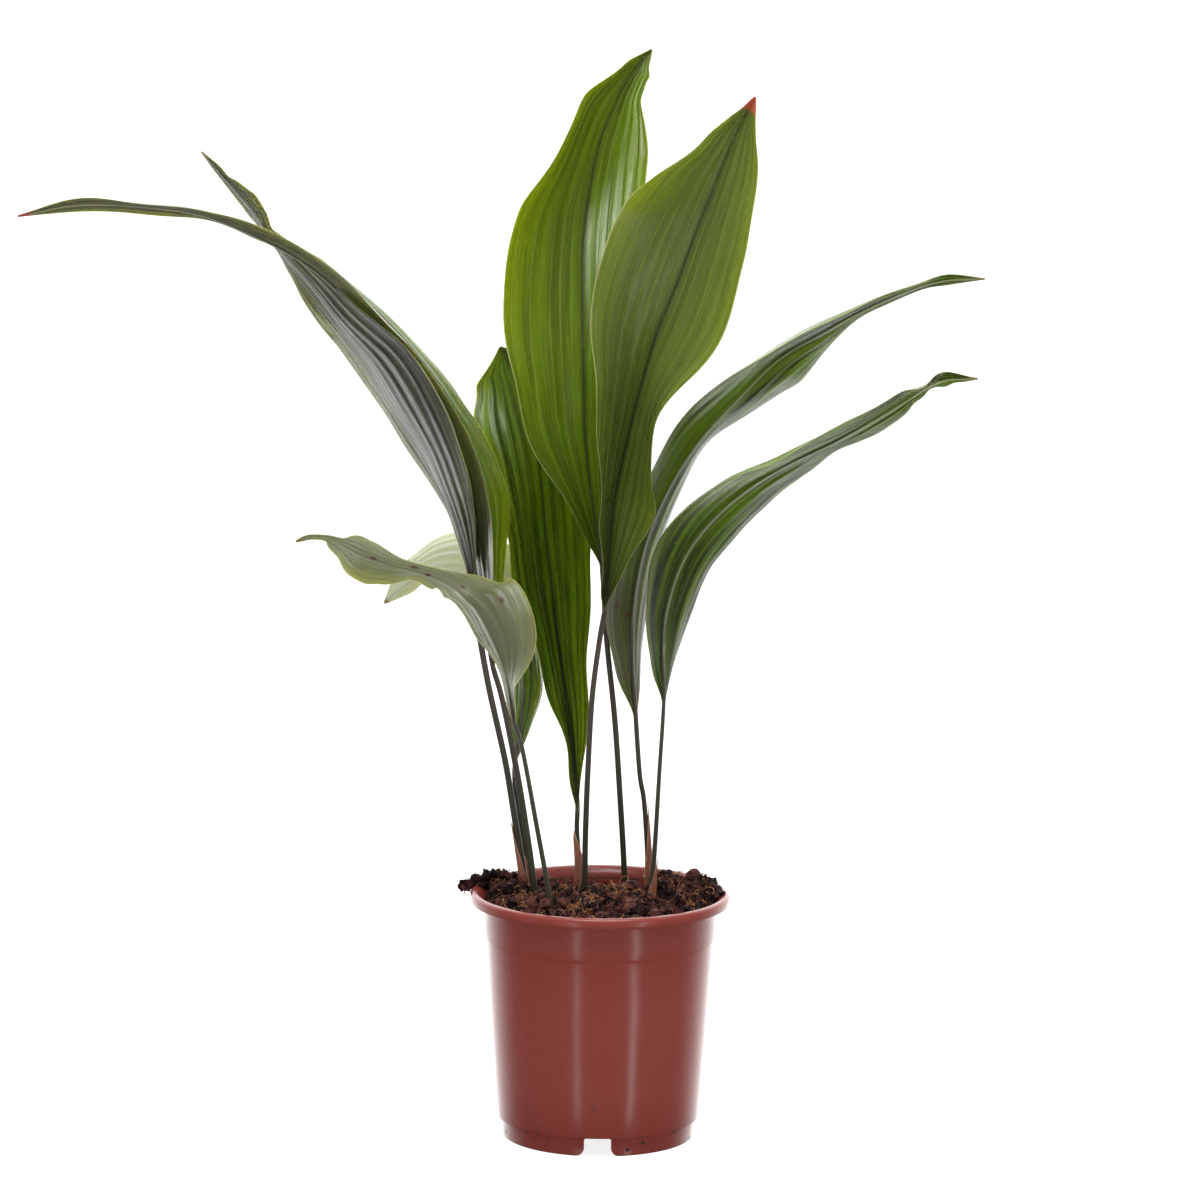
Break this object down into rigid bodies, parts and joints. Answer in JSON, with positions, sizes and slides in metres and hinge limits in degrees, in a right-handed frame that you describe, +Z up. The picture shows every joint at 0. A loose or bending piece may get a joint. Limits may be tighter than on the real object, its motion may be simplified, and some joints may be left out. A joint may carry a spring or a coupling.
{
  "type": "potted cast iron plant",
  "caption": "House plant with long lance-shaped leaf blades on slender stalks, growing from soil in a plain round plastic nursery pot with a rolled lip and a notched foot.",
  "frame": {"origin": "centre of the bounding box on plan, at the foot of the pot, on the surface that it stands on", "axes": "+Z up along the pot's axis, -Y towards the viewer of the picture, +X to the viewer's right"},
  "size_m": [0.5462, 0.1826, 0.6226],
  "materials": {
    "pot": "thin injection-moulded plastic, satin to glossy, with faint handling marks and specks of dried soil",
    "soil": null,
    "leaf": null,
    "stalk": null,
    "sheath": "dry papery pink-brown sheath scale with fine lengthwise fibres"
  },
  "bodies": {
    "root": {"pot": "pot", "soil": "soil", "blade_left_arching": "leaf", "stalk_left_arching": "stalk", "blade_left_outer": "leaf", "stalk_left_outer": "stalk", "sheath_left_outer": "sheath", "blade_left_drooping": "leaf", "stalk_left_drooping": "stalk", "blade_left_rear": "leaf", "stalk_left_rear": "stalk", "sheath_left_rear": "sheath", "blade_centre_rear": "leaf", "stalk_centre_rear": "stalk", "sheath_centre_rear": "sheath", "blade_centre_tall": "leaf", "stalk_centre_tall": "stalk", "blade_centre_front": "leaf", "stalk_centre_front": "stalk", "blade_right_upper": "leaf", "stalk_right_upper": "stalk", "sheath_right_upper": "sheath", "blade_right_lower": "leaf", "stalk_right_lower": "stalk", "sheath_right_lower": "sheath"}
  },
  "joints": []
}
